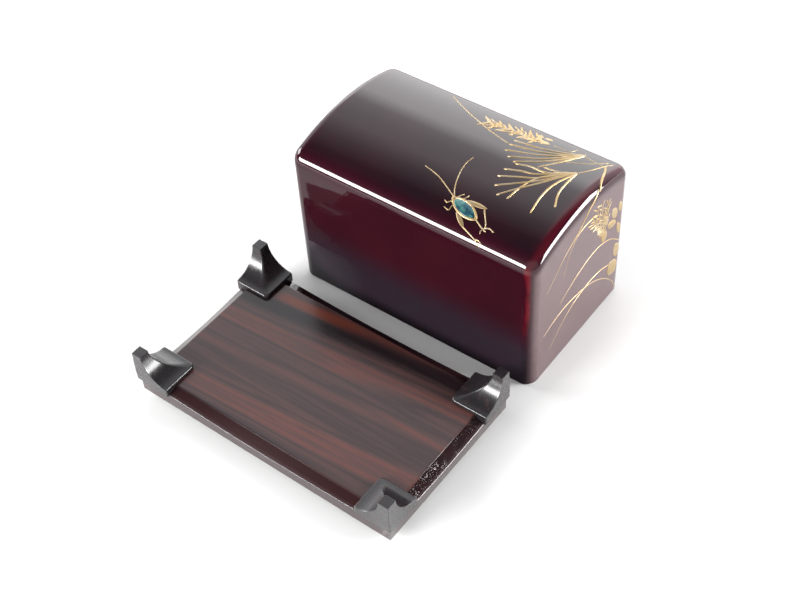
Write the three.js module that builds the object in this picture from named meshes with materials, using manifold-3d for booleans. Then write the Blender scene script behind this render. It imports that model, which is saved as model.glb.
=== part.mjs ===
// An incense box of lacquered wood: a deep, hollow cover with a vaulted roof and one inlaid oval
// of shell, and the footed base that it sets down over. Nothing is hinged: the cover lifts off.
// Here the cover stands on its rim and the base lies in front of it, turned feet up.
import * as THREE from 'three';
import { mergeVertices } from 'three/addons/utils/BufferGeometryUtils.js';
import Module from 'manifold-3d';

const wasm = await Module();
wasm.setup();

// Cover, in millimetres. X runs along its length, Y from its front to its back, Z upwards.
const coverLength = 80;
const coverDepth = 48;
const coverEavesHeight = 46.2;
const coverCrown = 4.7;
const coverWall = 3;
const coverRoof = 3.2;
const coverCornerRadius = 3.6;
const coverEdgeRadius = 3;
const coverInnerCornerRadius = 1.2;
const coverInnerEdgeRadius = 1.4;

// Shell oval let into the roof: the middle of it measured from the cover's front left corner.
const shellLength = 7.6;
const shellWidth = 3.2;
const shellTurn = THREE.MathUtils.degToRad(-18);
const shellFromLeft = 53.8;
const shellFromFront = 7.3;
const shellThickness = 0.6;
const shellProud = 0.1;
const shellDome = 0.2;
const shellDomeRings = [1, 0.8, 0.55, 0.3];

// Base, as it stands in use: soles down, board above, and a low panel that enters the cover.
const boardEndMargin = 2.95;
const boardSideMargin = 1.85;
const boardThickness = 6.3;
const boardCornerRadius = 0.5;
const boardTopRounding = 0.6;
const boardSideMiddle = 3.7;
const boardSideCorner = 5.4;
const bevelWidth = 3.1;
const panelHeight = 1.5;
const panelClearance = 0.4;

// Feet: square blocks under the board's corners, with both inner faces hollowed to a small sole.
const footHeight = 9.2;
const footSpan = 11.7;
const footSole = 3.7;
const footLip = 1.2;
const footOutset = 1;
const footDraft = 0.5;
const footCornerRadius = 0.6;

// The line of glue or setting lacquer left round each fixed piece, and the sharpest corner that
// an outline keeps where it runs inside a rounded one.
const glueLine = 0.3;
const sharpestCorner = 0.2;

// How the two stand to each other: the base in front, a little to the left and not quite square.
const layoutGap = 9.9;
const layoutShift = -4.2;
const layoutTurn = THREE.MathUtils.degToRad(-0.54);

// Facets in a quarter turn, along a curved side, and round the oval.
const cornerFacets = 5;
const smallCornerFacets = 2;
const edgeFacets = 4;
const vaultFacets = 14;
const boardLengthFacets = 16;
const boardDepthFacets = 12;
const coveFacets = 8;
const footSideFacets = 6;
const ovalFacets = 28;

const innerLength = coverLength - 2 * coverWall;
const innerDepth = coverDepth - 2 * coverWall;
const boardLength = coverLength + 2 * boardEndMargin;
const boardDepth = coverDepth + 2 * boardSideMargin;
const underside = footHeight;
const boardTop = underside + boardThickness;
const baseHeight = boardTop + panelHeight;

// A closed body from rings that follow one another, each with the same number of points, closed
// at both ends by a fan from a middle point.
function loft(rings, startPoint, endPoint) {
  const count = rings[0].length;
  const points = rings.flat().concat([startPoint, endPoint]);
  const start = points.length - 2;
  const end = points.length - 1;
  const faces = [];
  for (let i = 0; i < count; i++) {
    const j = (i + 1) % count;
    faces.push(start, j, i);
    for (let r = 0; r < rings.length - 1; r++) {
      const low = r * count;
      const high = low + count;
      faces.push(low + i, low + j, high + j, low + i, high + j, high + i);
    }
    const last = (rings.length - 1) * count;
    faces.push(end, last + i, last + j);
  }
  const geometry = new THREE.BufferGeometry().setFromPoints(points);
  geometry.setIndex(faces);
  return geometry;
}

// The outline of a rectangle with round corners, anticlockwise, as [x, y] pairs. Its straight
// stretches are cut into facetsX and facetsY parts.
function roundedRectangle(lengthX, lengthY, radius, facetsX, facetsY, facetsCorner) {
  const outline = [];
  const reachX = lengthX / 2 - radius;
  const reachY = lengthY / 2 - radius;
  const corners = [[1, -1], [1, 1], [-1, 1], [-1, -1]];
  corners.forEach(([sideX, sideY], k) => {
    const from = (k - 1) * Math.PI / 2;
    for (let i = 0; i <= facetsCorner; i++) {
      const angle = from + i / facetsCorner * Math.PI / 2;
      outline.push([
        sideX * reachX + radius * Math.cos(angle),
        sideY * reachY + radius * Math.sin(angle),
      ]);
    }
    const [x, y] = outline.at(-1);
    const alongY = k % 2 === 0;
    const facets = alongY ? facetsY : facetsX;
    for (let i = 1; i < facets; i++) {
      const share = 1 - 2 * i / facets;
      outline.push(alongY ? [x, sideY * reachY * share] : [sideX * reachX * share, y]);
    }
  });
  return outline;
}

function ring(outline, heightAt, centreX = 0, centreY = 0) {
  return outline.map(([x, y]) => {
    const px = x + centreX;
    const py = y + centreY;
    return new THREE.Vector3(px, py, heightAt(px, py));
  });
}

function toSolid(geometry) {
  const bare = geometry.clone();
  bare.deleteAttribute('normal');
  bare.deleteAttribute('uv');
  const merged = mergeVertices(bare, 1e-5);
  return new wasm.Manifold(new wasm.Mesh({
    numProp: 3,
    vertProperties: new Float32Array(merged.attributes.position.array),
    triVerts: new Uint32Array(merged.index.array),
  }));
}

function cut(body, tool) {
  const mesh = toSolid(body).subtract(toSolid(tool)).getMesh();
  const geometry = new THREE.BufferGeometry();
  geometry.setAttribute('position', new THREE.BufferAttribute(mesh.vertProperties, 3));
  geometry.setIndex(new THREE.BufferAttribute(mesh.triVerts, 1));
  return geometry;
}

function piece(name, geometry, color, roughness, metalness) {
  const flat = geometry.toNonIndexed();
  flat.computeVertexNormals();
  const mesh = new THREE.Mesh(flat, new THREE.MeshStandardMaterial({ color, roughness, metalness }));
  mesh.name = name;
  return mesh;
}

// Height of the vaulted roof over the cover's rim. Its arch springs from the front and back
// eaves and is straight along X.
const vaultRadius = ((coverDepth / 2) ** 2 + coverCrown ** 2) / (2 * coverCrown);

function roofHeight(y) {
  return coverEavesHeight + coverCrown - vaultRadius + Math.sqrt(vaultRadius ** 2 - y * y);
}

// Rings from a rim, up a wall, over a rounded edge and across the vault to its ridge.
function vaultedRings(length, depth, cornerRadius, edgeRadius, drop) {
  const insetRing = (inset, lower) => {
    const radius = Math.max(cornerRadius - inset, sharpestCorner);
    const outline = roundedRectangle(
      length - 2 * inset, depth - 2 * inset, radius, 1, vaultFacets, cornerFacets);
    return ring(outline, (x, y) => roofHeight(y) - drop - lower);
  };
  const rim = roundedRectangle(length, depth, cornerRadius, 1, vaultFacets, cornerFacets);
  const rings = [ring(rim, () => 0)];
  for (let i = 0; i <= edgeFacets; i++) {
    const angle = i / edgeFacets * Math.PI / 2;
    rings.push(insetRing(edgeRadius * (1 - Math.cos(angle)), edgeRadius * (1 - Math.sin(angle))));
  }
  const steps = vaultFacets / 2;
  for (let i = 1; i < steps; i++) {
    rings.push(insetRing(edgeRadius + (depth / 2 - edgeRadius) * i / steps, 0));
  }
  return rings;
}

// The oval's outline on the roof, grown by a margin and lowered under the roof's surface.
const shellX = shellFromLeft - coverLength / 2;
const shellY = shellFromFront - coverDepth / 2;

function ovalRing(grow, scale, lift) {
  const outline = [];
  for (let i = 0; i < ovalFacets; i++) {
    const angle = i / ovalFacets * 2 * Math.PI;
    const x = (shellLength / 2 + grow) * scale * Math.cos(angle);
    const y = (shellWidth / 2 + grow) * scale * Math.sin(angle);
    outline.push([
      x * Math.cos(shellTurn) - y * Math.sin(shellTurn),
      x * Math.sin(shellTurn) + y * Math.cos(shellTurn),
    ]);
  }
  return ring(outline, (x, y) => roofHeight(y) + lift, shellX, shellY);
}

function ovalPoint(lift) {
  return new THREE.Vector3(shellX, shellY, roofHeight(shellY) + lift);
}

// The cover is one hollow body: down the inside, across the rim, and up the outside. A shallow
// seat is cut in its roof for the shell.
function makeCover() {
  const inside = vaultedRings(
    innerLength, innerDepth, coverInnerCornerRadius, coverInnerEdgeRadius, coverRoof);
  const outside = vaultedRings(coverLength, coverDepth, coverCornerRadius, coverEdgeRadius, 0);
  const ridge = new THREE.Vector3(0, 0, roofHeight(0));
  const innerRidge = new THREE.Vector3(0, 0, roofHeight(0) - coverRoof);
  const shell = loft([...inside.reverse(), ...outside], innerRidge, ridge);
  const seatFloor = shellProud - shellThickness - glueLine;
  const aboveRoof = coverEdgeRadius;
  const seat = loft(
    [ovalRing(glueLine, 1, seatFloor), ovalRing(glueLine, 1, aboveRoof)],
    ovalPoint(seatFloor), ovalPoint(aboveRoof));
  return cut(shell, seat);
}

// A thin plate of shell that follows the roof and swells a little towards its middle.
function makeShellOval() {
  const rings = [ovalRing(0, 1, shellProud - shellThickness)];
  for (const scale of shellDomeRings) {
    rings.push(ovalRing(0, scale, shellProud + shellDome * (1 - scale * scale)));
  }
  return loft(rings, ovalPoint(shellProud - shellThickness), ovalPoint(shellProud + shellDome));
}

// The board's side face is lowest in the middle of each side and deepest at the corners.
function sideDepth(x, y) {
  const alongLength = Math.abs(y) / boardDepth >= Math.abs(x) / boardLength;
  const share = alongLength ? 2 * x / boardLength : 2 * y / boardDepth;
  return boardSideMiddle + (boardSideCorner - boardSideMiddle) * share * share;
}

function boardOutline(inset) {
  const radius = Math.max(boardCornerRadius - inset, sharpestCorner);
  return roundedRectangle(boardLength - 2 * inset, boardDepth - 2 * inset, radius,
    boardLengthFacets, boardDepthFacets, smallCornerFacets);
}

// One board: bevelled below, upright sides, a softened top edge, and the raised panel on top
// that locates the cover.
function makeBoard() {
  const rings = [
    ring(boardOutline(bevelWidth), () => underside),
    ring(boardOutline(0), (x, y) => boardTop - sideDepth(x, y)),
  ];
  for (let i = 0; i <= smallCornerFacets; i++) {
    const angle = i / smallCornerFacets * Math.PI / 2;
    const inset = boardTopRounding * (1 - Math.cos(angle));
    const height = boardTop - boardTopRounding * (1 - Math.sin(angle));
    rings.push(ring(boardOutline(inset), () => height));
  }
  const panel = roundedRectangle(
    innerLength - 2 * panelClearance, innerDepth - 2 * panelClearance,
    coverInnerCornerRadius, boardLengthFacets, boardDepthFacets, smallCornerFacets);
  rings.push(ring(panel, () => boardTop));
  rings.push(ring(panel, () => baseHeight));
  return loft(rings, new THREE.Vector3(0, 0, underside), new THREE.Vector3(0, 0, baseHeight));
}

// What a foot is scribed to: the board's bevelled underside, a glue line lower and carried
// outwards well past the foot.
function makeScribe() {
  const reach = 2 * footOutset + glueLine;
  const seatHeight = (x, y) => boardTop - sideDepth(x, y) - glueLine;
  const outward = (x, y) => {
    const inX = THREE.MathUtils.clamp(x, -boardLength / 2, boardLength / 2);
    const inY = THREE.MathUtils.clamp(y, -boardDepth / 2, boardDepth / 2);
    return seatHeight(inX, inY);
  };
  const rings = [
    ring(boardOutline(bevelWidth), () => underside - glueLine),
    ring(boardOutline(0), seatHeight),
    ring(boardOutline(-reach), outward),
    ring(boardOutline(-reach), () => baseHeight),
  ];
  return loft(
    rings, new THREE.Vector3(0, 0, underside - glueLine), new THREE.Vector3(0, 0, baseHeight));
}

// One foot. Each section is a square that keeps to the outer corner, and the inner faces follow
// a quarter of an ellipse from the sole out to the lip.
function makeFoot(sideX, sideY, scribe) {
  const section = (inner, height) => {
    const outer = footOutset - footDraft * (1 - height / boardTop);
    const size = inner + outer;
    const outline = roundedRectangle(
      size, size, footCornerRadius, footSideFacets, footSideFacets, smallCornerFacets);
    const middle = (outer - inner) / 2;
    const centreX = sideX * (boardLength / 2 + middle);
    const centreY = sideY * (boardDepth / 2 + middle);
    return ring(outline, () => height, centreX, centreY);
  };
  const coveWidth = footSpan - footSole;
  const coveHeight = footHeight - footLip;
  const rings = [];
  for (let i = 0; i <= coveFacets; i++) {
    const angle = i / coveFacets * Math.PI / 2;
    const inner = footSpan - coveWidth * Math.cos(angle) - footOutset;
    rings.push(section(inner, coveHeight * Math.sin(angle)));
  }
  rings.push(section(footSpan - footOutset, boardTop));
  const middleOf = (points) => {
    const sum = points.reduce((total, point) => total.add(point), new THREE.Vector3());
    return sum.divideScalar(points.length);
  };
  return cut(loft(rings, middleOf(rings[0]), middleOf(rings.at(-1))), scribe);
}

const cover = new THREE.Group();
cover.add(piece('cover', makeCover(), 0x5a1622, 0.16, 0));
cover.add(piece('shell_oval', makeShellOval(), 0x3f8f93, 0.2, 0));

const base = new THREE.Group();
base.add(piece('base_board', makeBoard(), 0x5d4644, 0.25, 0));
const scribe = makeScribe();
const footPlaces = {
  foot_near_left: [-1, 1],
  foot_near_right: [1, 1],
  foot_far_left: [-1, -1],
  foot_far_right: [1, -1],
};
for (const [name, [sideX, sideY]] of Object.entries(footPlaces)) {
  base.add(piece(name, makeFoot(sideX, sideY, scribe), 0x2a2226, 0.12, 0));
}

// The base is rolled over end for end about X, so it lies on its panel with the soles on top.
const turnedOver = new THREE.Group();
turnedOver.add(base);
base.rotation.x = Math.PI;
base.position.z = baseHeight;
turnedOver.rotation.z = layoutTurn;
turnedOver.position.set(layoutShift, -(coverDepth + boardDepth) / 2 - layoutGap, 0);

const incenseBox = new THREE.Group();
incenseBox.add(cover, turnedOver);

// The origin is on the table, under the middle of the box that bounds the two.
incenseBox.updateMatrixWorld(true);
const middle = new THREE.Box3().setFromObject(incenseBox, true).getCenter(new THREE.Vector3());
incenseBox.position.set(-middle.x, -middle.y, 0);

export default incenseBox;
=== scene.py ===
import math

import bmesh
import bpy
from mathutils import Matrix, Vector


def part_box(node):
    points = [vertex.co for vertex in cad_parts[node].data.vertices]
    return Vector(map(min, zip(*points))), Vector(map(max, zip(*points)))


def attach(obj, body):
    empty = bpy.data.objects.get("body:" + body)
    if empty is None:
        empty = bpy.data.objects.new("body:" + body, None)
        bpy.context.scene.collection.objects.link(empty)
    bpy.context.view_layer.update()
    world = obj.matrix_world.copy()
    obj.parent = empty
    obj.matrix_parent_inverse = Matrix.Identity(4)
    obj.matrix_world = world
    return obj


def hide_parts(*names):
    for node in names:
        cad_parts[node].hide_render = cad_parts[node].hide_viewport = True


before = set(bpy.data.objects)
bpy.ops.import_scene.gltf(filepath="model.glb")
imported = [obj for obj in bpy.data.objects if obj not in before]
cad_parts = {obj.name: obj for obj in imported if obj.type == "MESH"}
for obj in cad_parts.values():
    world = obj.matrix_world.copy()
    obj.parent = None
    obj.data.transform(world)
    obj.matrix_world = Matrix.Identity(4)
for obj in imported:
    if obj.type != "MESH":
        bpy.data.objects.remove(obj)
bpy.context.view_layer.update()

# Base board: one board of dark striped rosewood under thin lacquer, lying underside up. It is
# bevelled back all round, its sides are deepest at the corners, and a low panel on its top face,
# now below, keeps the cover in place.
mm = 0.001
board_low, board_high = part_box("base_board")
board_middle = (board_low + board_high) / 2
base_turn = math.radians(-0.54)
board_length = 85.9 * mm
board_depth = 51.7 * mm
board_thickness = 6.3 * mm
board_side_middle = 3.7 * mm
board_side_corner = 5.4 * mm
bevel_width = 3.1 * mm
board_edge = 0.14 * mm
board_top_rounding = 0.6 * mm
panel_length = 73.2 * mm
panel_depth = 41.2 * mm
panel_height = 1.5 * mm
ridge_height = panel_height + board_side_middle
underside_height = panel_height + board_thickness
board_columns = 14
board_rows = 8
touch = 0.01 * mm


def pick_alone(piece):
    """Selects that piece and no other, and makes it the one that is worked on."""
    bpy.ops.object.select_all(action="DESELECT")
    piece.select_set(True)
    bpy.context.view_layer.objects.active = piece


def add_block(name, size, middle):
    """A new block of that size, with its place in its mesh, alone selected and in edit mode."""
    bpy.ops.object.select_all(action="DESELECT")
    bpy.ops.mesh.primitive_cube_add(size=1, location=middle)
    block = bpy.context.object
    block.name = name
    block.scale = size
    bpy.ops.object.transform_apply(location=True, rotation=True, scale=True)
    bpy.ops.object.mode_set(mode="EDIT")
    return block


def pick(kind, wanted):
    """Selects just the points, edges or faces that wanted(middle, direction) accepts."""
    bpy.ops.mesh.select_mode(type=kind)
    bpy.ops.mesh.select_all(action="DESELECT")
    mesh = bmesh.from_edit_mesh(bpy.context.edit_object.data)
    if kind == "VERT":
        found = [v for v in mesh.verts if wanted(v.co, v.normal)]
    elif kind == "EDGE":
        found = []
        for edge in mesh.edges:
            first, second = (v.co for v in edge.verts)
            if wanted((first + second) / 2, (second - first).normalized()):
                found.append(edge)
    else:
        found = [f for f in mesh.faces if wanted(f.calc_center_median(), f.normal)]
    for item in found:
        item.select_set(True)
    mesh.select_flush_mode()
    bmesh.update_edit_mesh(bpy.context.edit_object.data)


def raise_points(wanted, rise):
    """Moves each wanted point up by rise(place), with one move for all that rise alike."""
    mesh = bmesh.from_edit_mesh(bpy.context.edit_object.data)
    places = [v.co.copy() for v in mesh.verts if wanted(v.co)]
    for height in sorted({round(rise(place), 7) for place in places}):
        pick("VERT", lambda place, way: wanted(place) and round(rise(place), 7) == height)
        bpy.ops.transform.translate(value=(0, 0, height))


def cut_across(axis, places):
    """Cuts the whole piece by planes square to one axis."""
    square_to = Vector((axis == 0, axis == 1, axis == 2))
    for place in places:
        bpy.ops.mesh.select_all(action="SELECT")
        bpy.ops.mesh.bisect(plane_co=square_to * place, plane_no=square_to)


def soften(piece, width, sharper_than=28):
    """Rounds the sharp edges of a finished form, and shades it as large faces with small edges."""
    bpy.ops.object.mode_set(mode="OBJECT")
    pick_alone(piece)
    if width:
        bevel = piece.modifiers.new("edges", "BEVEL")
        bevel.width = width
        bevel.segments = 3
        bevel.limit_method = "ANGLE"
        bevel.angle_limit = math.radians(sharper_than)
        bpy.ops.object.modifier_apply(modifier=bevel.name)
    bpy.ops.object.shade_smooth_by_angle(angle=math.radians(sharper_than + 10))
    weights = piece.modifiers.new("shading", "WEIGHTED_NORMAL")
    weights.keep_sharp = True
    bpy.ops.object.modifier_apply(modifier=weights.name)


def lay_in_place(piece):
    """Turns and moves a piece of the base to where the base lies, and applies its place."""
    pick_alone(piece)
    piece.rotation_euler.z = base_turn
    piece.location = (board_middle.x, board_middle.y, 0)
    bpy.ops.object.transform_apply(location=True, rotation=True, scale=True)


def board_rise(place):
    """How much higher than in the middle the board's ridge is here, most of all at the corners."""
    along_length = abs(place.y) / board_depth >= abs(place.x) / board_length
    share = 2 * place.x / board_length if along_length else 2 * place.y / board_depth
    return (board_side_corner - board_side_middle) * share * share


def evenly(count, reach):
    """Evenly spaced places from -reach to reach, one more than the count of gaps."""
    return [reach * (2 * i / count - 1) for i in range(count + 1)]


board = add_block(
    "rosewood_board",
    (board_length, board_depth, board_side_middle),
    (0, 0, panel_height + board_side_middle / 2),
)
pick("EDGE", lambda place, way: abs(way.z) < 0.5 and place.z < panel_height + touch)
bpy.ops.mesh.bevel(offset=board_top_rounding, segments=4)
pick("FACE", lambda place, way: way.z > 0.9)
bpy.ops.mesh.inset(thickness=bevel_width, depth=board_thickness - board_side_middle)
pick("FACE", lambda place, way: way.z < -0.999)
bpy.ops.mesh.inset(thickness=(board_depth - panel_depth) / 2 - board_top_rounding)
panel_stretch = panel_length / (board_length - board_depth + panel_depth)
bpy.ops.transform.resize(value=(panel_stretch, 1, 1))
bpy.ops.mesh.extrude_region_move(TRANSFORM_OT_translate={"value": (0, 0, -panel_height)})
cut_across(0, evenly(board_columns, board_length / 2 - bevel_width - mm))
cut_across(1, evenly(board_rows, board_depth / 2 - bevel_width - mm))
raise_points(lambda place: abs(place.z - ridge_height) < touch, board_rise)
bpy.ops.object.mode_set(mode="OBJECT")
board_cutter = board.copy()
board_cutter.data = board.data.copy()
bpy.context.collection.objects.link(board_cutter)
soften(board, board_edge)
lay_in_place(board)


class Wire:
    """A socket in a material. Sums of it add Math nodes, and node() adds any other."""

    def __init__(self, tree, socket):
        self.tree = tree
        self.socket = socket

    def node(self, kind, settings=None, inputs=None):
        made = self.tree.nodes.new("ShaderNode" + kind)
        for key, value in (settings or {}).items():
            if key == "stops":
                ramp = made.color_ramp
                ramp.elements.remove(ramp.elements[1])
                ramp.elements[0].position, ramp.elements[0].color = value[0]
                for stop, colour in value[1:]:
                    ramp.elements.new(stop).color = colour
            else:
                setattr(made, key, value)
        for key, value in (inputs or {}).items():
            if isinstance(value, Wire):
                self.tree.links.new(value.socket, made.inputs[key])
            else:
                made.inputs[key].default_value = value
        return Wire(self.tree, made.outputs[0])

    def math(self, operation, *others):
        inputs = dict(enumerate((self, *others)))
        return self.node("Math", {"operation": operation}, inputs)

    def __add__(self, other):
        return self.math("ADD", other)

    def __sub__(self, other):
        return self.math("SUBTRACT", other)

    def __rsub__(self, other):
        return self.node("Math", {"operation": "SUBTRACT"}, {0: other, 1: self})

    def __mul__(self, other):
        return self.math("MULTIPLY", other)

    def __abs__(self):
        return self.math("ABSOLUTE")

    __radd__ = __add__
    __rmul__ = __mul__

    def smooth(self, start, end):
        """0 at start, 1 at end, and a soft step between."""
        values = {"Value": self, "From Min": start, "From Max": end}
        return self.node("MapRange", {"interpolation_type": "SMOOTHSTEP"}, values)

    def mix(self, first, second):
        """Goes from the first colour to the second as this socket goes from 0 to 1."""
        node = self.node("Mix", {"data_type": "RGBA"}, {"Factor": self}).socket.node
        ends = [s for s in node.inputs if s.type == "RGBA"]
        for socket, colour in zip(ends, (first, second)):
            if isinstance(colour, Wire):
                self.tree.links.new(colour.socket, socket)
            else:
                socket.default_value = colour
        return Wire(self.tree, next(s for s in node.outputs if s.type == "RGBA"))

    def axes(self):
        parts = self.node("SeparateXYZ", {}, {0: self}).socket.node
        return [Wire(self.tree, socket) for socket in parts.outputs]

    def noise(self, scale, detail=3, stretch=(1, 1, 1), turn=0, shift=(0, 0, 0)):
        """Noise over this position, about 1/scale metres from lump to lump."""
        settled = self.node(
            "Mapping", {},
            {"Vector": self, "Location": shift, "Rotation": (0, 0, turn), "Scale": stretch},
        )
        return settled.node("TexNoise", {}, {"Vector": settled, "Scale": scale, "Detail": detail})

    def into(self, shader, name):
        """Feeds this socket to one of the shader's inputs."""
        self.tree.links.new(self.socket, shader.inputs[name])

    def bump(self, shader, height, strength):
        """Feeds this socket to the shader as a relief of that height in metres."""
        made = self.node("Bump", {}, {"Height": self, "Distance": height, "Strength": strength})
        made.into(shader, "Normal")


def new_finish(name, values):
    """A material with its shader's plain values set, its shader, and its Object coordinates."""
    finish = bpy.data.materials.new(name)
    finish.use_nodes = True
    shader = finish.node_tree.nodes["Principled BSDF"]
    for key, value in values.items():
        shader.inputs[key].default_value = value
    coordinates = finish.node_tree.nodes.new("ShaderNodeTexCoord")
    return finish, shader, Wire(finish.node_tree, coordinates.outputs["Object"])


def coat(piece, finish):
    """Gives the piece that finish and no other."""
    piece.data.materials.clear()
    piece.data.materials.append(finish)


def on_board(x, y):
    """Along and across the board from its middle, and how far in from its outline."""
    turned_x, turned_y = math.cos(base_turn), math.sin(base_turn)
    along = (x - board_middle.x) * turned_x + (y - board_middle.y) * turned_y
    aside = (y - board_middle.y) * turned_x - (x - board_middle.x) * turned_y
    inward = (board_length / 2 - abs(along)).math("MINIMUM", board_depth / 2 - abs(aside))
    return along, aside, inward


rosewood_black = (0.007, 0.0045, 0.0055, 1)
rosewood_dark = (0.026, 0.0140, 0.0145, 1)
rosewood_brown = (0.050, 0.0230, 0.0215, 1)
rosewood_red = (0.086, 0.0275, 0.0225, 1)
rosewood_flame = (0.10, 0.020, 0.009, 1)
bevel_brown = (0.016, 0.0045, 0.005, 1)
side_brown = (0.036, 0.022, 0.024, 1)
dust_white = (0.30, 0.27, 0.28, 1)
stripe_slant = math.radians(2.4)
stripe_slope = 0.09
stripe_sway = 5 * mm
band_lift = 0.32
flame_line = board_high.y - 4.9 * mm
flame_fade = (0.3 * mm, 2.3 * mm)
flame_start = (-34 * mm, -27 * mm)
flame_end = (-22 * mm, 8 * mm)
bevel_depth = (underside_height - 0.30 * mm, underside_height - 0.05 * mm)
bevel_outside = (0.1 * mm, 0.4 * mm)
bevel_inside = (2.6 * mm, bevel_width)
right_fade = (0.1 * mm, 0.5 * mm)
dust_fade = (-4 * mm, 9 * mm)
dust_grains = (0.585, 0.65)
dust_patches = (0.36, 0.54)
side_fade = (0.02 * mm, 0.12 * mm)
hazy_fade = (0.1 * mm, 1.1 * mm)

# The broad bands of the grain: distance from the near edge, reach, and strength, dark if negative.
broad_bands = (
    (10.2 * mm, 6 * mm, 0.85), (24.8 * mm, 3.6 * mm, 0.35), (35.4 * mm, 5 * mm, 0.9),
    (43.8 * mm, 4.4 * mm, -0.8),
)
rosewood, rosewood_shader, place = new_finish(
    "striped_rosewood", {"IOR": 1.5, "Coat IOR": 2.0, "Coat Roughness": 0.22})
x, y, z = place.axes()
stripes = place.noise(1, 1.5, stretch=(5, 105, 120), turn=stripe_slant)
streaks = place.noise(1, 4, stretch=(26, 620, 400), turn=stripe_slant, shift=(3, 1, 0))
pores = place.noise(1, 3, stretch=(110, 4200, 2600), turn=stripe_slant)
across = y - (x - board_middle.x) * stripe_slope + (stripes - 0.5) * stripe_sway
grain = stripes * 0.5 + streaks * 0.24 - 0.02
for middle, reach, strength in broad_bands:
    from_band = abs(across - (board_low.y + middle))
    grain = grain + (1 - from_band.smooth(0, reach)) * (band_lift * strength)
wood = grain.node(
    "ValToRGB",
    {"stops": [(0.14, rosewood_black), (0.27, rosewood_dark), (0.36, rosewood_brown),
               (0.42, rosewood_dark), (0.50, rosewood_brown), (0.58, rosewood_red),
               (0.64, rosewood_brown), (0.72, rosewood_red)]},
    {0: grain},
)
flame = 1 - abs(across - flame_line).smooth(*flame_fade)
flame = flame * x.smooth(*flame_start) * (1 - x.smooth(*flame_end) * 0.75)
wood = (flame * 0.9).mix(wood, rosewood_flame)
wood = (pores.smooth(0.55, 0.75) * 0.5).mix(wood, rosewood_dark)
on_bevel = 1 - z.smooth(*bevel_depth)
bevelled = (on_bevel * 0.85).mix(wood, bevel_brown)
along, aside, inward = on_board(x, y)
from_right = board_length / 2 - along
from_left = board_length / 2 + along
right_bevel = from_right.smooth(*bevel_outside) * on_bevel
right_bevel = right_bevel * (1 - from_right.smooth(*bevel_inside))
left_bevel = (1 - from_left.smooth(*bevel_inside)) * on_bevel
# Painted shade: the right bevel alone is darkened towards near black.
bevelled = (right_bevel * 0.6).mix(bevelled, rosewood_black)
specks = place.noise(2900, 4).smooth(*dust_grains)
patches = place.noise(230, 2).smooth(*dust_patches)
dusty = right_bevel * specks * patches * (1 - aside.smooth(*dust_fade) * 0.8)
on_side = 1 - inward.smooth(*side_fade)
on_right = 1 - from_right.smooth(*right_fade)
hazy_edge = 1 - inward.smooth(*hazy_fade)
bevelled = (hazy_edge * 0.85).mix(bevelled, side_brown)
dusty.mix(bevelled, dust_white).into(rosewood_shader, "Base Color")
glossy = (on_side * (0.2 + on_right * 0.35)).math("MAXIMUM", left_bevel * 0.3)
glossy.into(rosewood_shader, "Coat Weight")
(0.16 + streaks * 0.12 - on_bevel * 0.15 + dusty * 0.5).into(rosewood_shader, "Roughness")
((pores * 0.5 + stripes) * (1 - on_bevel * 0.9)).bump(rosewood_shader, 0.02 * mm, 0.6)
coat(board, rosewood)
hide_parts("base_board")
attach(board, "root")

# Feet: four square blocks of wood glued over the board's bevelled corners. Both inner faces of
# each are hollowed from a thin lip down to a small sole, and all is lacquered near black.
foot_height = 9.2 * mm
foot_span = 11.7 * mm
foot_sole = 3.7 * mm
foot_lip = 1.2 * mm
foot_outset = 1 * mm
foot_draft = 0.5 * mm
foot_inner_radius = 1.3 * mm
foot_outer_radius = 0.5 * mm
foot_side_radius = 0.35 * mm
lip_radius = 0.38 * mm
sole_edge = 0.14 * mm
foot_glue = 0.06 * mm
cove_steps = 16
sole_height = underside_height + foot_height
lip_height = underside_height + foot_lip
use_height = foot_height + board_thickness
block_depth = 4 * mm


def foot_reach(height):
    """How far the foot stands out past the board's corner, at a height over the table."""
    return foot_outset - foot_draft * (1 - (sole_height - height) / use_height)


lip_reach = foot_reach(lip_height)
lip_size = foot_span - foot_outset + lip_reach
corner_x = board_length / 2
corner_y = board_depth / 2
foot_middle_x = corner_x + lip_reach - lip_size / 2
foot_middle_y = corner_y + lip_reach - lip_size / 2
foot = add_block(
    "foot",
    (lip_size, lip_size, block_depth),
    (foot_middle_x, foot_middle_y, lip_height - block_depth / 2),
)
for radius, side_x, side_y in (
    (foot_inner_radius, -1, -1), (foot_outer_radius, 1, 1),
    (foot_side_radius, 1, -1), (foot_side_radius, -1, 1),
):
    pick("EDGE", lambda place, way: abs(way.z) > 0.9
         and (place.x - foot_middle_x) * side_x > lip_size / 2 - touch
         and (place.y - foot_middle_y) * side_y > lip_size / 2 - touch)
    bpy.ops.mesh.bevel(offset=radius, segments=5)
pick("FACE", lambda place, way: way.z > 0.9)
size = lip_size
reach = lip_reach
height = lip_height
for step in range(1, cove_steps + 1):
    angle = math.pi / 2 * (1 - step / cove_steps)
    new_height = sole_height - (foot_height - foot_lip) * math.sin(angle)
    new_reach = foot_reach(new_height)
    new_size = foot_span - (foot_span - foot_sole) * math.cos(angle) - foot_outset + new_reach
    bpy.ops.mesh.extrude_region_move(
        TRANSFORM_OT_translate={"value": (0, 0, new_height - height)})
    bpy.ops.transform.resize(
        value=(new_size / size, new_size / size, 1),
        center_override=(corner_x + reach, corner_y + reach, new_height))
    bpy.ops.transform.translate(value=(new_reach - reach, new_reach - reach, 0))
    size = new_size
    reach = new_reach
    height = new_height
lip_inside_x = foot_middle_x - lip_size / 2 + foot_inner_radius
lip_inside_y = foot_middle_y - lip_size / 2 + foot_inner_radius
pick("EDGE", lambda place, way: abs(place.z - lip_height) < touch
     and (place.x < lip_inside_x or place.y < lip_inside_y))
bpy.ops.mesh.bevel(offset=lip_radius, segments=4)
pick("FACE", lambda place, way: way.z > 0.99 and place.z > sole_height - touch)
bpy.ops.mesh.region_to_loop()
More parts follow.
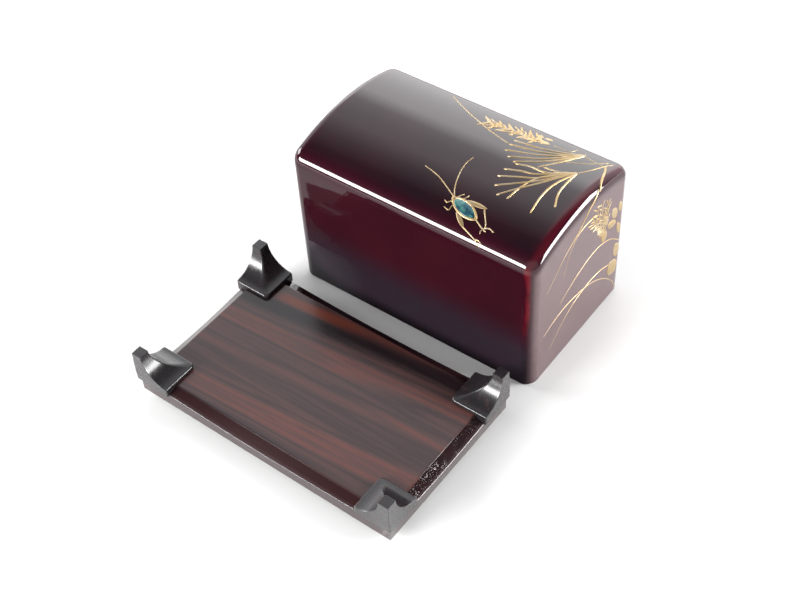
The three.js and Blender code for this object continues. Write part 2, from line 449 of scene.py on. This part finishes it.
bpy.ops.mesh.bevel(offset=sole_edge, segments=2)
bpy.ops.object.mode_set(mode="OBJECT")

# The board itself cuts each foot's seat. It is raised by the glue's thickness, and widened so
# that no part of a foot hangs down beside it.
skirt = 4 * mm
pick_alone(board_cutter)
bpy.ops.object.mode_set(mode="EDIT")
pick("FACE", lambda place, way: abs(way.z) < 0.1 and place.z > panel_height)
bpy.ops.mesh.extrude_region_shrink_fatten(TRANSFORM_OT_shrink_fatten={"value": skirt})
bpy.ops.mesh.select_all(action="SELECT")
bpy.ops.transform.translate(value=(0, 0, foot_glue))
bpy.ops.object.mode_set(mode="OBJECT")
pick_alone(foot)
scribe = foot.modifiers.new("scribe", "BOOLEAN")
scribe.operation = "DIFFERENCE"
scribe.solver = "EXACT"
scribe.object = board_cutter
bpy.ops.object.modifier_apply(modifier=scribe.name)
bpy.data.objects.remove(board_cutter)

foot_black = (0.013, 0.0115, 0.013, 1)
foot_brown = (0.020, 0.0115, 0.012, 1)
outer_face_gloss = 0.42
outer_face_fade = (-0.5 * mm, -0.1 * mm)
foot_lacquer, foot_shader, place = new_finish(
    "foot_lacquer", {"IOR": 1.55, "Coat IOR": 1.7, "Coat Roughness": 0.3})
x, y = place.axes()[:2]
inward = on_board(x, y)[2]
((1 - inward.smooth(*outer_face_fade)) * outer_face_gloss).into(foot_shader, "Coat Weight")
worn = place.noise(420, 4).smooth(0.5, 0.72)
worn.mix(foot_black, foot_brown).into(foot_shader, "Base Color")
(0.17 + place.noise(900, 3) * 0.16 + worn * 0.08).into(foot_shader, "Roughness")
place.noise(380, 2).bump(foot_shader, 0.05 * mm, 0.35)
coat(foot, foot_lacquer)
for node, side_x, side_y in (
    ("foot_near_left", -1, -1), ("foot_near_right", 1, -1),
    ("foot_far_left", -1, 1), ("foot_far_right", 1, 1),
):
    one = foot.copy()
    one.data = foot.data.copy()
    one.name = "lacquered_" + node
    bpy.context.collection.objects.link(one)
    one.data.transform(Matrix.Diagonal((side_x, side_y, 1, 1)))
    pick_alone(one)
    bpy.ops.object.mode_set(mode="EDIT")
    bpy.ops.mesh.select_all(action="SELECT")
    bpy.ops.mesh.normals_make_consistent(inside=False)
    soften(one, 0, sharper_than=30)
    lay_in_place(one)
    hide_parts(node)
    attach(one, "root")
bpy.data.objects.remove(foot)

# Cover: a deep wooden box, open below, with a vaulted roof that is straight along its length.
# It carries a thin translucent red-brown lacquer over dark, worn clear red on its edges and duller
# over most of the front. Low on the front and on the right end its colour is greyed as a painted
# reflection of the floor.
cover_low, cover_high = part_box("cover")
cover_middle = (cover_low + cover_high) / 2
cover_length = 80 * mm
cover_depth = 48 * mm
eaves_height = 46.2 * mm
crown = 4.7 * mm
ridge = eaves_height + crown
wall = 3 * mm
roof_thickness = 3.2 * mm
cover_corner = 3.6 * mm
cover_edge = 3 * mm
inner_corner = 1.2 * mm
inner_edge = 1 * mm
rim_edge = 0.35 * mm
vault_radius = ((cover_depth / 2) ** 2 + crown ** 2) / (2 * crown)
vault_rows = 28
rounding_steps = 10


def vault(y):
    """The roof's height over the table, y to the back of the cover's middle."""
    return ridge - vault_radius + math.sqrt(vault_radius ** 2 - y * y)


def add_vaulted_box(name, length, depth, corner, edge, drop):
    """A block with round corners whose top is rounded over at its edge and bent to the vault."""
    top = ridge - drop
    side = top - edge
    box = add_block(name, (length, depth, side), (0, 0, side / 2))
    pick("EDGE", lambda place, way: abs(way.z) > 0.9)
    bpy.ops.mesh.bevel(offset=corner, segments=10)
    pick("FACE", lambda place, way: way.z > 0.9)
    for step in range(rounding_steps):
        start = math.pi / 2 * step / rounding_steps
        end = math.pi / 2 * (step + 1) / rounding_steps
        bpy.ops.mesh.inset(
            thickness=edge * (math.cos(start) - math.cos(end)),
            depth=edge * (math.sin(end) - math.sin(start)))
    cut_across(1, evenly(vault_rows, depth / 2 - max(corner, edge) - touch))
    raise_points(lambda place: place.z > side / 2, lambda place: vault(place.y) - ridge)
    pick("FACE", lambda place, way: way.z < -0.9)
    bpy.ops.mesh.delete(type="FACE")
    bpy.ops.object.mode_set(mode="OBJECT")
    return box


cover = add_vaulted_box(
    "lacquered_cover", cover_length, cover_depth, cover_corner, cover_edge, 0)
hollow = add_vaulted_box(
    "hollow", cover_length - 2 * wall, cover_depth - 2 * wall,
    inner_corner, inner_edge, roof_thickness)
bpy.ops.object.mode_set(mode="EDIT")
bpy.ops.mesh.select_all(action="SELECT")
bpy.ops.mesh.flip_normals()
bpy.ops.object.mode_set(mode="OBJECT")
bpy.ops.object.select_all(action="DESELECT")
hollow.select_set(True)
cover.select_set(True)
bpy.context.view_layer.objects.active = cover
bpy.ops.object.join()
bpy.ops.object.mode_set(mode="EDIT")
pick("EDGE", lambda place, way: place.z < touch)
bpy.ops.mesh.bridge_edge_loops()
pick("FACE", lambda place, way: way.z < -0.99 and place.z < touch)
bpy.ops.mesh.region_to_loop()
bpy.ops.mesh.bevel(offset=rim_edge, segments=3)
bpy.ops.object.mode_set(mode="OBJECT")
soften(cover, 0, sharper_than=30)
cover.location = (cover_middle.x, cover_middle.y, 0)
bpy.ops.object.transform_apply(location=True, rotation=True, scale=True)

lacquer_dark = (0.0055, 0.0018, 0.0040, 1)
lacquer_maroon = (0.0240, 0.0034, 0.0064, 1)
lacquer_crimson = (0.024, 0.0010, 0.0060, 1)
lacquer_worn_red = (0.095, 0.005, 0.009, 1)
lacquer_low_painted_reflection = (0.0135, 0.0095, 0.0145, 1)
lacquer_end_painted_reflection = (0.094, 0.057, 0.060, 1)
thin_fade = (0.6 * mm, 5.5 * mm)
worn_inside = (2.3 * mm, 3.4 * mm)
worn_outside = (0.9 * mm, 1.9 * mm)
worn_round_corner = (0.5 * mm, 1.1 * mm)
worn_down_to = (18 * mm, 34 * mm)
roof_end_inside = (2.2 * mm, 4 * mm)
roof_end_outside = (0.9 * mm, 1.8 * mm)
wall_top = (1.5 * mm, 5 * mm)
face_fade = (0.2 * mm, 1.2 * mm)
front_top = (1.2 * mm, 2.2 * mm)
end_top = (2.2 * mm, 5 * mm)
lower_part_from = (20 * mm, 36 * mm)
edge_sway = 1.6 * mm
ragged_sway = 3 * mm
left_strip = 2.8 * mm
left_strip_sway = 4 * mm
left_strip_more_below = 7 * mm
left_strip_widens = (20 * mm, 28 * mm)
left_strip_blur = 1.5 * mm
left_strip_blur_below = 14 * mm
top_strip = 2.6 * mm
top_strip_more_at_left = 4.4 * mm
top_strip_narrows = (2 * mm, 42 * mm)
top_strip_blur = 0.9 * mm
lacquer, lacquer_shader, place = new_finish(
    "red_brown_lacquer",
    {"Specular IOR Level": 0.0, "Coat IOR": 1.5, "Coat Roughness": 0.04})
x, y, z = place.axes()
inset_x = cover_length / 2 - abs(x - cover_middle.x)
inset_y = cover_depth / 2 - abs(y - cover_middle.y)
off_middle = y - cover_middle.y
vault_line = (vault_radius ** 2 - off_middle * off_middle).math("SQRT") + (ridge - vault_radius)
below_roof = vault_line - z
from_top_edge = inset_x.math("MINIMUM", inset_y).math("MAXIMUM", below_roof)
from_upright_edge = inset_x.math("MAXIMUM", inset_y)
uneven = place.noise(90, 3) - 0.5
from_edge = from_top_edge.math("MINIMUM", from_upright_edge) + uneven * edge_sway
thin = 1 - from_edge.smooth(*thin_fade)
right_part = (x - cover_middle.x).smooth(-mm, mm)
front_part = off_middle.smooth(mm, -mm)
ragged = inset_x + uneven * ragged_sway
worn = (1 - ragged.smooth(*worn_inside)) * ragged.smooth(*worn_outside)
worn = worn * (1 - inset_y.smooth(*worn_round_corner)) * right_part * front_part
worn = worn * place.noise(170, 3).smooth(0.3, 0.6) * (1 - below_roof.smooth(*worn_down_to))
roof_end = (1 - ragged.smooth(*roof_end_inside)) * ragged.smooth(*roof_end_outside) * right_part
depth = place.noise(38, 4).smooth(0.3, 0.7)
on_walls = below_roof.smooth(*wall_top)
tone = (0.15 + depth * 0.35 + on_walls * 0.5).mix(lacquer_dark, lacquer_maroon)
tone = (thin * 0.85).mix(tone, lacquer_crimson)
worn = worn * 0.85 + roof_end * (1 - on_walls) * 0.3
tone = worn.mix(tone, lacquer_worn_red)
haze_and_painted_reflection_noise = place.noise(160, 4)
on_front = (1 - inset_y.smooth(*face_fade)) * front_part
on_front = on_front * below_roof.smooth(*front_top)
on_right_end = (1 - inset_x.smooth(*face_fade)) * right_part
on_right_end = on_right_end * below_roof.smooth(*end_top)

# Only a strip along the front's top and left edges is glossy. The rest of it is rubbed duller.
shiny_left = place.noise(150, 3) * left_strip_sway + left_strip
shiny_left = shiny_left + below_roof.smooth(*left_strip_widens) * left_strip_more_below
from_left = x - (cover_middle.x - cover_length / 2)
shiny_top = (1 - from_left.smooth(*top_strip_narrows)) * top_strip_more_at_left + top_strip
shiny_top = shiny_top + uneven * ragged_sway
low = below_roof.smooth(*lower_part_from)
dull = from_left.smooth(shiny_left, shiny_left + low * left_strip_blur_below + left_strip_blur)
dull = dull * below_roof.smooth(shiny_top, shiny_top + top_strip_blur) * on_front
# Painted reflection: the lower front and the right end are mixed towards grey colours that stand
# for the floor reflected in them.
tone = (on_front * low * (0.7 + haze_and_painted_reflection_noise * 0.4)).mix(tone, lacquer_low_painted_reflection)
tone = (on_right_end * (0.6 + haze_and_painted_reflection_noise * 0.5)).mix(tone, lacquer_end_painted_reflection)
tone.into(lacquer_shader, "Base Color")
(1 - on_front * 0.25 - dull * 0.65).into(lacquer_shader, "Coat Weight")
(0.3 + haze_and_painted_reflection_noise * 0.3).into(lacquer_shader, "Roughness")
(place.noise(30, 2) + place.noise(140, 2) * 0.12).bump(lacquer_shader, 0.06 * mm, 0.5)
coat(cover, lacquer)
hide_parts("cover")
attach(cover, "root")

# Shell oval: the body of the drawn cricket, one thin plate of blue-green shell that is set into
# the roof, slightly domed and polished.
shell_spot = (53.8, 7.3)
shell_length = 7.6 * mm
shell_width = 3.2 * mm
shell_turn = math.radians(-18)
shell_thickness = 0.6 * mm
shell_proud = 0.1 * mm
shell_dome = 0.2 * mm
dome_steps = 6
cover_corner_place = Vector((
    cover_middle.x - cover_length / 2, cover_middle.y - cover_depth / 2, 0))


def rounding(inset, radius):
    """How far a rounded edge falls back, at an inset from the square corner."""
    short = max(radius - inset, 0)
    return radius - math.sqrt(max(radius ** 2 - short ** 2, 0))


def on_roof(x, y):
    """The roof's surface as a matrix, x and y in millimetres from the cover's front left corner."""
    x = x * mm
    y = y * mm
    from_middle = y - cover_depth / 2
    height = vault(max(-cover_depth / 2, min(from_middle, cover_depth / 2)))
    height -= rounding(min(x, cover_length - x), cover_edge)
    height -= rounding(min(y, cover_depth - y), cover_edge)
    up = Vector((0, from_middle / vault_radius, 1)).normalized()
    along = Vector((1, 0, 0))
    across = up.cross(along)
    surface = Matrix((along, across, up)).transposed().to_4x4()
    surface.translation = cover_corner_place + Vector((x, y, height))
    return surface


def on_end(y, z):
    """The right end's surface as a matrix, from its lower front corner, in millimetres."""
    y = y * mm
    z = z * mm
    below = vault(max(-cover_depth / 2, min(y - cover_depth / 2, cover_depth / 2))) - z
    back = rounding(below, cover_edge) + rounding(min(y, cover_depth - y), cover_corner)
    surface = Matrix(((0, 1, 0), (0, 0, 1), (1, 0, 0))).transposed().to_4x4()
    surface.translation = cover_corner_place + Vector((cover_length - back, y, z))
    return surface


bpy.ops.object.select_all(action="DESELECT")
bpy.ops.mesh.primitive_cylinder_add(
    vertices=64, radius=0.5, depth=1, location=(0, 0, 0), end_fill_type="NGON")
shell = bpy.context.object
shell.name = "shell_plate"
shell.scale = (shell_length, shell_width, shell_thickness)
bpy.ops.object.transform_apply(location=True, rotation=True, scale=True)
bpy.ops.object.mode_set(mode="EDIT")
pick("FACE", lambda place, way: way.z > 0.9)
for step in range(dome_steps):
    start = math.pi / 2 * step / dome_steps
    end = math.pi / 2 * (step + 1) / dome_steps
    shrink = max(math.cos(end), 0.02) / max(math.cos(start), 0.02)
    bpy.ops.mesh.extrude_region_move(
        TRANSFORM_OT_translate={"value": (0, 0, shell_dome * (math.sin(end) - math.sin(start)))})
    bpy.ops.transform.resize(value=(shrink, shrink, 1))
soften(shell, 0, sharper_than=35)
shell.matrix_world = (
    on_roof(*shell_spot)
    @ Matrix.Translation((0, 0, shell_proud - shell_thickness / 2))
    @ Matrix.Rotation(shell_turn, 4, "Z")
)
bpy.ops.object.transform_apply(location=True, rotation=True, scale=True)

shell_deep = (0.008, 0.032, 0.060, 1)
shell_teal = (0.020, 0.090, 0.125, 1)
shell_green = (0.04, 0.16, 0.135, 1)
shell_pale = (0.10, 0.22, 0.24, 1)
pearl, pearl_shader, place = new_finish(
    "blue_green_shell", {"IOR": 1.6, "Coat Weight": 0.8, "Coat Roughness": 0.05, "Metallic": 0.35})
bands = place.noise(1, 3, stretch=(420, 900, 600), turn=math.radians(35))
bands = bands * 0.7 + place.noise(1600, 3) * 0.3
bands.node(
    "ValToRGB",
    {"stops": [(0.38, shell_deep), (0.47, shell_teal), (0.54, shell_green), (0.62, shell_pale)]},
    {0: bands},
).into(pearl_shader, "Base Color")
(0.14 + bands * 0.2).into(pearl_shader, "Roughness")
coat(shell, pearl)
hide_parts("shell_oval")
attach(shell, "root")

# Gold cricket: lines of gold powder strewn over raised lacquer, up to a quarter of a millimetre
# high, round the shell. Its upper hind legs are thick, its feelers and feet thin.
line_sunk = 0.1 * mm
line_step = 0.6
gold_pale = (0.46, 0.375, 0.25, 1)
gold_deep = (0.42, 0.285, 0.125, 1)
gold, gold_shader, place = new_finish("gold_powder", {"Metallic": 1.0})
powder = place.noise(2600, 4)
clouds = place.noise(240, 3).smooth(0.35, 0.65)
(clouds * 0.6 + powder * 0.4).mix(gold_pale, gold_deep).into(gold_shader, "Base Color")
(0.36 + powder * 0.2).into(gold_shader, "Roughness")
powder.bump(gold_shader, 0.02 * mm, 0.5)


def smooth_path(points):
    """Places about a line step apart on a smooth curve through the points."""
    ends = [2 * Vector(points[0]) - Vector(points[1]), 2 * Vector(points[-1]) - Vector(points[-2])]
    knots = [ends[0], *map(Vector, points), ends[1]]
    path = []
    for before, start, end, after in zip(knots, knots[1:], knots[2:], knots[3:]):
        steps = max(1, round((end - start).length / line_step))
        for i in range(steps):
            t = i / steps
            path.append(0.5 * (
                2 * start + (end - before) * t
                + (2 * before - 5 * start + 4 * end - after) * t ** 2
                + (3 * start - before - 3 * end + after) * t ** 3))
    return [*path, Vector(points[-1])]


def draw_lines(name, surface, lines):
    """One mesh of low raised lines. A line is its points and its widths at start, middle, end."""
    curve = bpy.data.curves.new(name, "CURVE")
    curve.dimensions = "3D"
    curve.bevel_depth = mm
    curve.bevel_resolution = 2
    curve.use_fill_caps = True
    for points, widths in lines:
        path = smooth_path(points)
        closed = (path[0] - path[-1]).length < 0.01
        spline = curve.splines.new("POLY")
        spline.use_cyclic_u = closed
        spline.points.add(len(path) - 1 - closed)
        for i, (point, spot) in enumerate(zip(spline.points, path)):
            share = i / (len(path) - 1)
            first, second = widths[:2] if share < 0.5 else widths[1:]
            width = first + (second - first) * (2 * share % 1 if share < 1 else 1)
            point.co = (*(surface(*spot) @ Vector((0, 0, -line_sunk))), 1)
            point.radius = math.hypot(width / 2, line_sunk / mm)
    drawn = bpy.data.objects.new(name, curve)
    bpy.context.collection.objects.link(drawn)
    pick_alone(drawn)
    bpy.ops.object.convert(target="MESH")
    bpy.ops.object.mode_set(mode="EDIT")
    bpy.ops.mesh.select_all(action="SELECT")
    bpy.ops.mesh.remove_doubles(threshold=0.001 * mm)
    bpy.ops.object.mode_set(mode="OBJECT")
    return bpy.context.object


bpy.ops.object.select_all(action="DESELECT")
bpy.ops.mesh.primitive_uv_sphere_add(
    segments=12, ring_count=8, radius=0.5, rotation=(0, math.pi / 2, 0))
petal = bpy.context.object
petal.name = "petal"
bpy.ops.object.transform_apply(location=True, rotation=True, scale=True)
bpy.ops.object.mode_set(mode="EDIT")
pick("VERT", lambda place, way: abs(place.x) > 0.42)
bpy.ops.transform.resize(value=(1.12, 0.62, 1))
bpy.ops.object.mode_set(mode="OBJECT")
bpy.ops.object.shade_smooth()
petal_height = 0.24


def stamp_petals(surface, petals):
    """A copy of the petal for each place, heading in degrees, length and width in millimetres."""
    stamped = []
    for spot, heading, length, width in petals:
        one = petal.copy()
        one.data = petal.data.copy()
        bpy.context.collection.objects.link(one)
        one.matrix_world = (
            surface(*spot)
            @ Matrix.Rotation(math.radians(heading), 4, "Z")
            @ Matrix.Diagonal((length * mm, width * mm, petal_height * mm, 1))
        )
        stamped.append(one)
    return stamped


def gild(name, drawn):
    """Joins lines and petals as one piece of gold, and hands it to the frame."""
    bpy.context.view_layer.update()
    pick_alone(drawn[0])
    for one in drawn:
        one.select_set(True)
    bpy.ops.object.join()
    piece = bpy.context.object
    piece.name = name
    bpy.ops.object.transform_apply(location=True, rotation=True, scale=True)
    bpy.ops.object.shade_smooth()
    coat(piece, gold)
    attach(piece, "root")


hair = (0.3, 0.26, 0.2)
leg = (0.42, 0.34, 0.26)
feelers = [
    ([(49.4, 9), (48.9, 9.2), (46.7, 10.3), (43.5, 11.9), (40.6, 13), (36.5, 13.9)], hair),
    ([(49.5, 9), (48.1, 11), (46.9, 13.7), (45.9, 17.2), (45.6, 20.3), (46, 23)], hair),
]
shins = [
    ([(58.6, 9.4), (61.4, 5.8), (61.8, 4.5)], leg),
    ([(61.7, 4.7), (63.2, 5.2), (64.5, 4.6)], leg),
    ([(61.8, 4.5), (61.3, 3.6), (61.6, 2.9)], leg),
    ([(56.3, 2.7), (58.6, 2), (61.1, 1.3), (62.8, 0.5)], leg),
    ([(61.1, 1.3), (62.0, 1.5), (63.2, 1.1)], leg),
    ([(57.8, 6.1), (60.2, 4.9), (62.6, 3.9)], (0.4, 0.35, 0.3)),
    ([(50.4, 7.5), (49.3, 7.6), (48.6, 6.8), (47.6, 7.2)], leg),
    ([(51.2, 6.8), (50.4, 6.6), (50.3, 5.1), (48.6, 5.4)], leg),
    ([(50.1, 8.9), (50.6, 10.1), (51.3, 10.9)], leg),
    ([(51.8, 9.3), (52.4, 10.4), (52.7, 11.2)], leg),
]
body_outline = []
body_half_length = 3.95
body_half_width = 1.76
body_point = 0.16
outline_steps = 32
for i in range(outline_steps + 1):
    turn = 2 * math.pi * i / outline_steps
    along = body_half_length * math.cos(turn) * (1 + body_point * abs(math.cos(turn)) ** 6)
    aside = body_half_width * math.sin(turn)
    body_outline.append((
        shell_spot[0] + along * math.cos(shell_turn) - aside * math.sin(shell_turn),
        shell_spot[1] + along * math.sin(shell_turn) + aside * math.cos(shell_turn)))
body_rim = [(body_outline, (0.75, 0.6, 0.75))]
cricket = [draw_lines("cricket_lines", on_roof, feelers + shins + body_rim)]
cricket += stamp_petals(on_roof, [
    ((49.6, 8.6), -18, 1.5, 1.3),
    ((50.4, 8.4), -18, 1.6, 1.8),
    ((56.0, 9.7), 2, 5.6, 1.35),
    ((54.5, 4.1), -38, 4.9, 1.3),
])
gild("gold_cricket", cricket)

# Gold grasses on the roof: two fans of thin blades with knobbed tips, their stems, a long bare
# stem and a feathered flower spike with round leaves, all drawn from the back right corner.
blade = (0.68, 0.58, 0.52)
stem = (0.3, 0.32, 0.28)
knob = 0.5
fan_back_root = (68.9, 42)
fan_front_root = (71.8, 33.3)
fan_back = [
    [(60, 37.6), (50.9, 35.7)], [(60, 36.0), (50.9, 33.3)], [(60.5, 34.6), (51.3, 30.4)],
    [(61.5, 33.4), (53.5, 28.5)], [(63, 33.2), (55.8, 27.5)], [(66, 35.4), (62.3, 29.4)],
]
fan_front = [
    [(68.0, 30.9), (63.7, 30.2)], [(65.8, 28.8), (60.5, 28.3), (56.8, 27.1)],
    [(64.2, 27.0), (59.5, 25.4), (55.5, 23.7)], [(65, 25.9), (60.0, 23.0), (55.5, 20.6)],
    [(65.6, 25.0), (61.0, 20.8), (56.7, 17.4)], [(66.2, 24.4), (62.4, 19.4), (58.9, 15)],
    [(65.0, 26.0), (62.8, 20.6), (61.9, 15.3)], [(69.4, 25.6), (69.0, 20.0), (69.6, 14.4)],
    [(71.8, 28.0), (72.2, 23.4), (73.9, 19)],
]
blades = [([fan_back_root, *points], blade) for points in fan_back]
blades += [([fan_front_root, *points], blade) for points in fan_front]
stems = [
    ([(71.8, 33.3), (73.9, 37), (75.4, 41.1), (76.8, 43.7)], stem),
    ([(68.9, 42), (72.9, 41.2), (75.4, 41.1)], stem),
    ([(67, 36.1), (70.8, 38.4), (73.1, 40.7), (75.4, 43.6)], stem),
    ([(60, 40.8), (64.6, 41), (65.8, 43.8)], stem),
    ([(24.7, 43.9), (28.8, 41.5), (33.3, 39.2), (39, 36.8), (43.6, 35.1), (50.3, 33.3)],
     (0.26, 0.34, 0.36)),
    ([(76, 41), (77.0, 38.9), (77.8, 36.4), (78.7, 33.8), (79.6, 31.9)], (0.62, 0.7, 0.6)),
]


def heading_of(way):
    return math.degrees(math.atan2(way.y, way.x))


def way_to(heading):
    """A step of one millimetre at a heading in degrees."""
    return Vector((math.cos(math.radians(heading)), math.sin(math.radians(heading))))


knobs = []
for points, widths in blades:
    heading = heading_of(Vector(points[-1]) - Vector(points[-2]))
    knobs.append((points[-1], heading, knob * 1.3, knob))
spike = []
barb_rows = (1.1, 2.6)
barb_spread = 40
barb_width = 0.62
spike_axis = smooth_path([(40, 38.4), (45, 39.3), (50, 40), (57.5, 40.9)])
for i in range(1, len(spike_axis) - 1, 2):
    share = i / (len(spike_axis) - 1)
    back = heading_of(spike_axis[i + 1] - spike_axis[i]) + 180
    spike.append((spike_axis[i], back + 10 * math.sin(7 * i), 1.9, 0.7))
    for side in (-1, 1):
        for out in barb_rows:
            spread = barb_spread + 18 * share + 13 * math.sin(5 * i + side + out)
            heading = back - side * spread
            length = 2.1 + 0.5 * math.sin(11 * i + side * out)
            spike.append((spike_axis[i] + out * way_to(heading), heading, length, barb_width))
round_leaves = [
    ((53.5, 39.2), 15, 2.6, 1.7), ((57.2, 40.3), 10, 3.0, 1.9), ((54.6, 42.4), 5, 2.4, 1.4),
    ((57.3, 42.8), 5, 2.2, 1.3), ((55.2, 40.8), 0, 2.0, 1.3),
]
fan_fillings = [
    ((66.3, 39.5), 57, 6.2, 1.5), ((67.2, 41.1), 40, 4.6, 1.3), ((65.2, 39.2), 42, 5.0, 1.0),
    ((69.3, 30.4), 50, 6.0, 1.2), ((68.8, 31.2), 38, 5.4, 0.9),
]
roof_lines = draw_lines("roof_lines", on_roof, blades + stems)
roof_petals = stamp_petals(on_roof, knobs + spike + round_leaves + fan_fillings)
gild("gold_roof_grasses", [roof_lines, *roof_petals])

# Gold grasses on the right end: arching bare stems, one of which comes over the edge from the
# roof, a flower head of five feathered plumes, and oval leaves towards the back.
end_stem = (0.36, 0.3, 0.2)
end_stems = [
    ([(31.9, 49.3), (29.4, 48.4), (26.8, 47), (24.9, 45.6), (22.6, 43.5), (19.2, 41.4), (14.8, 39),
      (11.2, 36), (6.6, 32.1)], (0.6, 0.34, 0.2)),
    ([(30.7, 41.6), (26.4, 42.2), (22.9, 42), (20.4, 41), (17.7, 38), (14.9, 31.7)], end_stem),
    ([(44.9, 20.5), (41.9, 23.2), (38.6, 25.6), (33.4, 27.3), (28.2, 27.2), (24, 26.2), (20, 24.9),
      (16.6, 23.3), (13.8, 21.8)], end_stem),
    ([(39.7, 14.7), (34.4, 16.5), (29, 16.9), (25.2, 16.4), (21.3, 15.6), (16.8, 13.4),
      (12.7, 10.3), (9.6, 7.6)], end_stem),
    ([(44.9, 1.1), (42.8, 5.5), (38.3, 10.4), (32.6, 14.4), (27.1, 16.6), (21.6, 17.7),
      (16.3, 18.1), (11.2, 17.5), (6, 15.9)], end_stem),
]
plume_barbs = []
plume_line = (0.3, 0.3, 0.3)
head_root = Vector((36.2, 30.4))
plume_tips = [(36.4, 41.4), (32.8, 43.6), (30.4, 43.4), (28.2, 42.0), (28.8, 39.6)]
barbs_a_plume = 11
plume_spread = 36
plume_barb_width = 0.52
for tip in plume_tips:
    plume = Vector(tip) - head_root
    end_stems.append(([head_root, head_root + plume * 0.5, Vector(tip)], plume_line))
    for i in range(barbs_a_plume):
        side = -1 if i % 2 else 1
        heading = heading_of(plume) + side * (plume_spread + 13 * math.sin(5 * i + tip[0]))
        length = 2.6 + 0.5 * math.sin(7 * i + tip[1])
        foot_of_barb = head_root + plume * (0.12 + 0.85 * i / (barbs_a_plume - 1))
        spot = foot_of_barb + way_to(heading) * (length * 0.45)
        plume_barbs.append((spot, heading, length, plume_barb_width))
end_leaves = [
    ((40.8, 34.1), 117, 4.8, 2.9), ((36.5, 34.7), 107, 3.9, 2.1), ((39.7, 30.8), 151, 4.7, 2.8),
    ((35.8, 29.3), 105, 4.0, 3.1), ((33.8, 31.7), 120, 2.7, 1.8), ((43.9, 34.3), 104, 3.7, 2.1),
    ((43.9, 26.1), 108, 4.7, 2.0), ((43.7, 17.6), 105, 5.5, 3.4), ((42.1, 11.7), 122, 6.4, 5.2),
]
end_lines = draw_lines("end_lines", on_end, end_stems)
gild("gold_end_grasses", [end_lines, *stamp_petals(on_end, plume_barbs + end_leaves)])
bpy.data.objects.remove(petal)

# Floor, light and camera: a pale sheet under the box, a light tent that is brightest low down
# behind, and three large soft lamps, at the front left, the left and the back right.
floor_white = (0.73, 0.73, 0.725, 1)
floor_lighter = (0.77, 0.77, 0.77, 1)
floor_drop = 0.02 * mm
bpy.ops.object.select_all(action="DESELECT")
bpy.ops.mesh.primitive_plane_add(size=6, location=(0, 0, -floor_drop))
floor = bpy.context.object
floor.name = "floor"
paper, paper_shader, place = new_finish("pale_paper", {"Roughness": 0.9})
(place.noise(3, 2) * 0.5).mix(floor_white, floor_lighter).into(paper_shader, "Base Color")
coat(floor, paper)

world = bpy.data.worlds.new("light_tent")
bpy.context.scene.world = world
world.use_nodes = True
sky_coordinates = world.node_tree.nodes.new("ShaderNodeTexCoord")
sky_x, sky_y = Wire(world.node_tree, sky_coordinates.outputs["Generated"]).axes()[:2]
glow_peak = 5.0
towards_glow = sky_y * 0.89 - sky_x * 0.45
tent = towards_glow.node(
    "ValToRGB",
    {"stops": [(0.0, (0.15, 0.15, 0.15, 1)), (0.20, (0.15, 0.15, 0.15, 1)),
               (0.34, (0.035, 0.035, 0.035, 1)), (0.48, (0.02, 0.02, 0.021, 1)),
               (0.60, (0.016, 0.016, 0.017, 1)),
               (0.66, (0.03, 0.03, 0.031, 1)), (0.725, (0.13, 0.13, 0.134, 1)),
               (0.80, (0.31, 0.31, 0.316, 1)), (0.85, (0.34, 0.34, 0.35, 1)),
               (0.89, (0.40, 0.40, 0.41, 1)), (0.93, (0.76, 0.76, 0.765, 1)),
               (1.0, (0.70, 0.70, 0.70, 1))]},
    {0: (towards_glow + 1) * 0.5},
)
background = world.node_tree.nodes["Background"]
background.inputs["Strength"].default_value = glow_peak
tent.into(background, "Color")


def add_lamp(name, direction, distance, size, strength):
    """A square soft lamp that faces the box from a direction."""
    light = bpy.data.lights.new(name, "AREA")
    light.shape = "RECTANGLE"
    light.size, light.size_y = size
    light.energy = strength
    lamp = bpy.data.objects.new(name, light)
    bpy.context.collection.objects.link(lamp)
    place = Vector(direction).normalized() * distance
    lamp.location = place
    lamp.rotation_euler = place.to_track_quat("Z", "Y").to_euler()


add_lamp("front_left_lamp", (-0.43, -0.82, 0.30), 1.6, (1.1, 0.42), 56)
add_lamp("left_lamp", (-0.93, -0.10, 0.36), 1.6, (0.7, 0.6), 16)
add_lamp("back_right_lamp", (0.80, 0.54, 0.23), 1.6, (0.9, 0.7), 62)

camera_data = bpy.data.cameras.new("camera")
camera_data.lens = 62.38
camera_data.sensor_width = 36
camera = bpy.data.objects.new("camera", camera_data)
bpy.context.collection.objects.link(camera)
camera.location = (0.168237, -0.198214, 0.298378)
camera.rotation_euler = (math.radians(42.49966), math.radians(2.60474), math.radians(36.41070))
bpy.context.scene.camera = camera
bpy.context.scene.view_settings.view_transform = "Standard"
